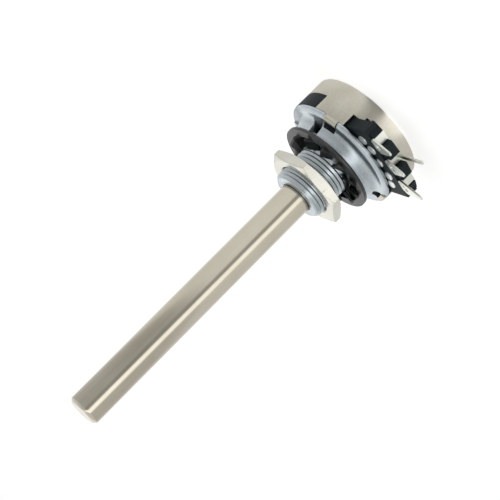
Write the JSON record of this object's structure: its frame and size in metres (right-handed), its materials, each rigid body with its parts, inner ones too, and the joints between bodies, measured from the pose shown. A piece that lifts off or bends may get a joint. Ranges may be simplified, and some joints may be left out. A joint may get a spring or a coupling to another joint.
{
  "type": "rotary potentiometer",
  "caption": "Rotary potentiometer with a long plain shaft, threaded bushing with nut and lock washer, crimped metal cover and solder-lug terminals.",
  "frame": {"origin": "centre of the mounting face, the front face of the drum, on the shaft's axis", "axes": "+Z along the shaft towards its tip, -Y towards the terminals, +X completes a right-handed frame"},
  "size_m": [0.0222, 0.0316, 0.0704],
  "materials": {
    "zinc_casting": "satin zinc-plated die casting",
    "nut_nickel": "satin nickel plate",
    "black_oxide": "oiled black oxide",
    "shaft_nickel": "turned and nickel plated",
    "bronze": "rolled spring bronze",
    "bright_steel": "bright zinc",
    "spring_steel": "blued spring steel",
    "black_phenolic": "moulded, low gloss",
    "brown_laminate": "pressed laminate",
    "carbon_film": "printed carbon",
    "silver_film": "printed silver",
    "terminal_plate": "tin plate",
    "rivet_tin": "tin plate",
    "rotor_plastic": "moulded, natural",
    "carbon_contact": "pressed carbon",
    "cover_nickel": "satin nickel plate"
  },
  "bodies": {
    "housing": {"bushing_housing": "zinc_casting", "mounting_nut": "nut_nickel", "lock_washer": "black_oxide", "wave_washer": "bronze", "thrust_washer": "bright_steel", "terminal_base": "black_phenolic", "resistance_wafer": "brown_laminate", "carbon_track": "carbon_film", "collector_ring": "silver_film", "track_end_pads": "silver_film", "terminal_left": "terminal_plate", "terminal_middle": "terminal_plate", "terminal_right": "terminal_plate", "terminal_rivets": "rivet_tin", "rear_cover": "cover_nickel"},
    "shaft_assembly": {"shaft": "shaft_nickel", "retaining_clip": "spring_steel", "rotor": "rotor_plastic", "wiper_spring": "bronze", "wiper_contacts": "carbon_contact", "staking_washer": "bright_steel"}
  },
  "joints": [
    {"name": "shaft_turn", "type": "hinge", "parent": "housing", "child": "shaft_assembly", "pos_m": [0, 0, 0], "axis": [0, 0, 1], "range_deg": [-150, 150]}
  ]
}
